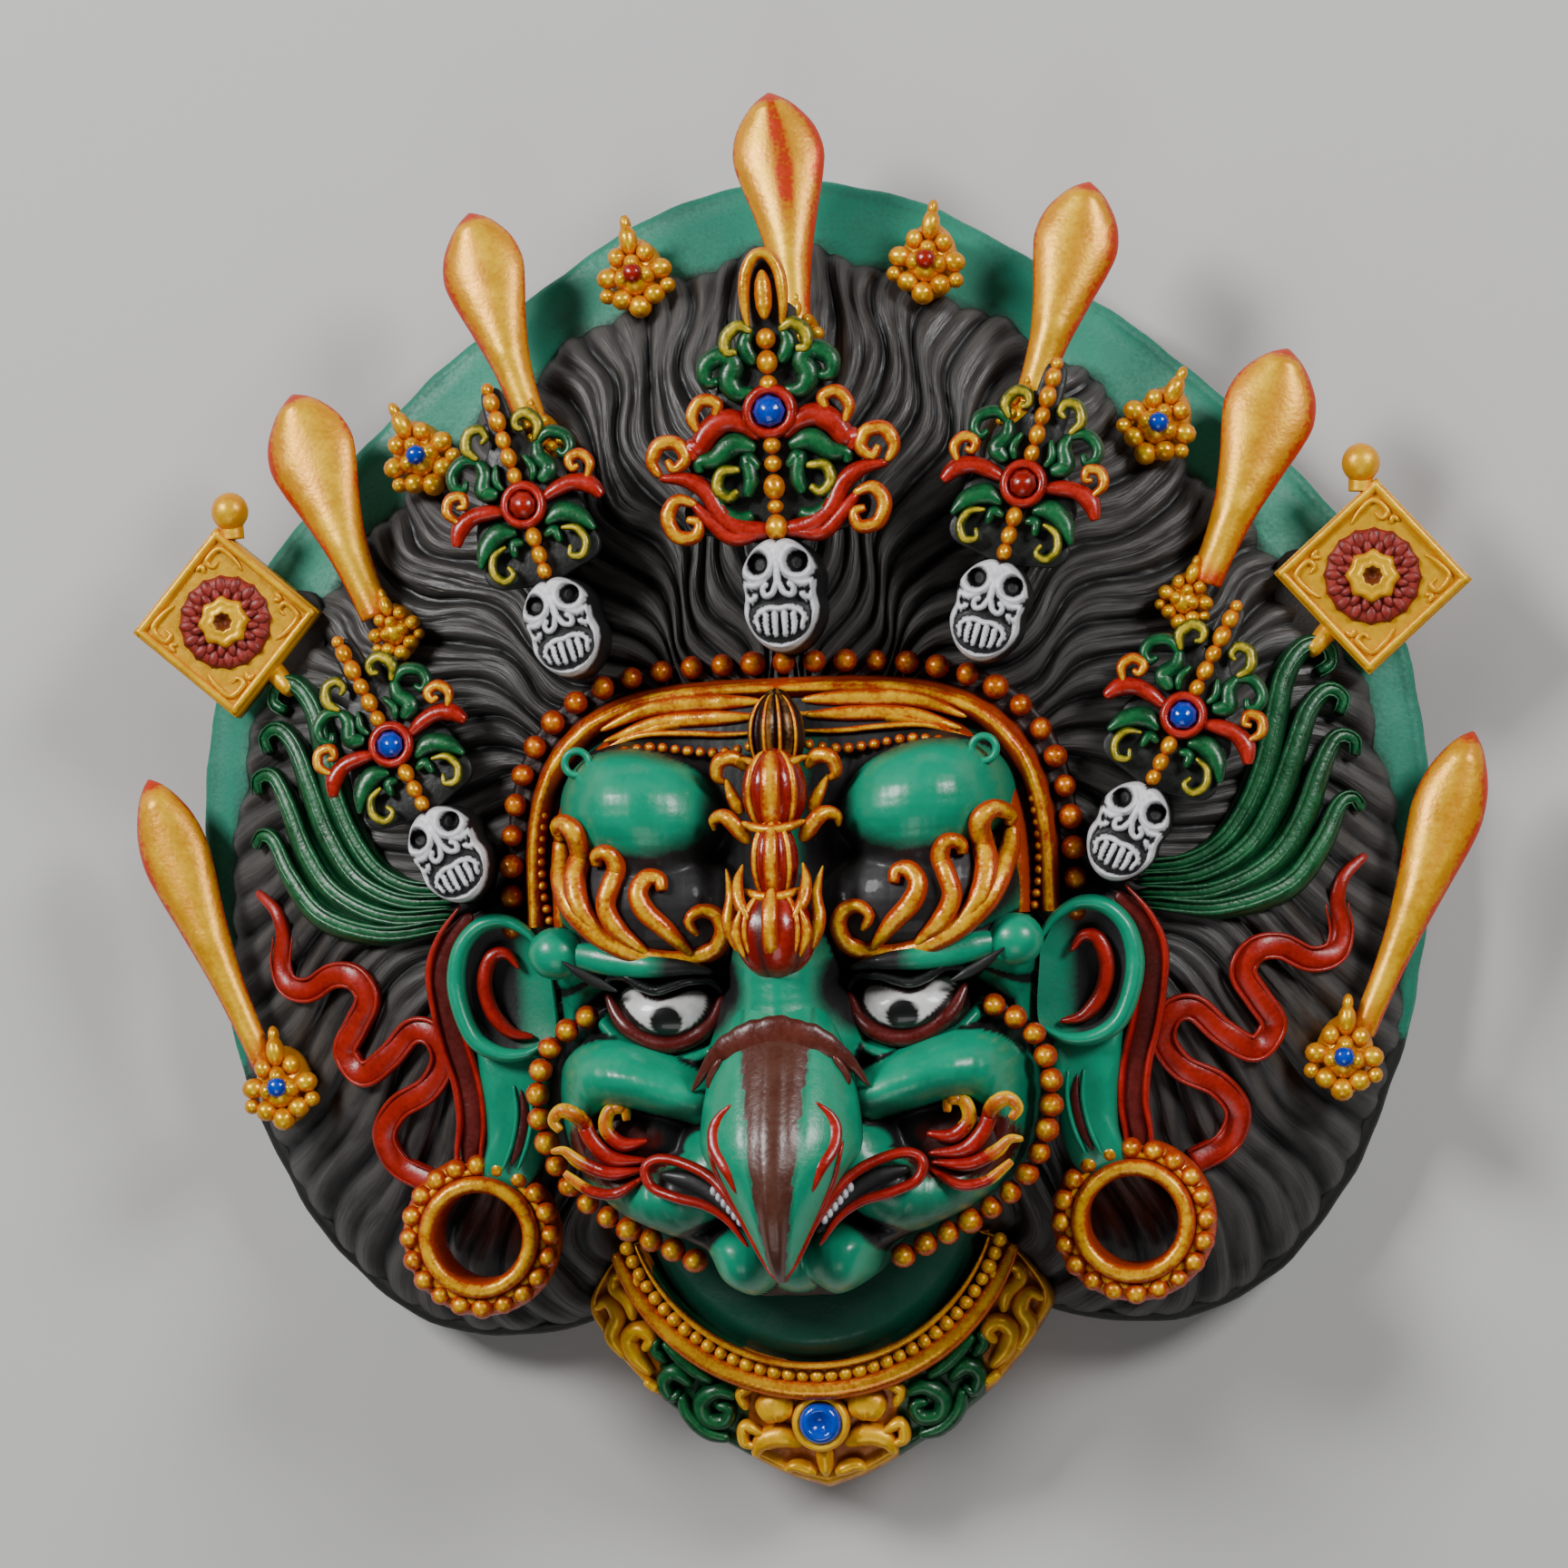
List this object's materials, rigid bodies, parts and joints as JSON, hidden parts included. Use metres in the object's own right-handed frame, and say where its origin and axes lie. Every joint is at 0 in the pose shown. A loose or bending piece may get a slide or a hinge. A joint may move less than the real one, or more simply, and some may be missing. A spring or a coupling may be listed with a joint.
{
  "type": "wall mask",
  "caption": "Painted resin wall mask of a beaked guardian with a beaded crown, leaf crests on skulls, wavy hair, blades, banners, ear tunnels and a pointed collar.",
  "frame": {"origin": "on the flat back, under the middle of the mask's width and height", "axes": "+Z out of the face, square to the flat back; +Y up to the crown; +X to the viewer's right when the mask is looked at"},
  "size_m": [0.2136, 0.2228, 0.0728],
  "materials": {
    "teal_paint": "satin green paint, darkened in the hollows",
    "black_paint": "satin black paint, rubbed grey on the ridges",
    "gold_paint": "satin gold paint over red",
    "red_paint": "satin red paint",
    "leaf_paint": "satin dark green paint",
    "white_paint": "satin white paint over black",
    "blue_paint": "gloss blue paint"
  },
  "bodies": {
    "root": {"mask": "teal_paint"}
  },
  "joints": []
}
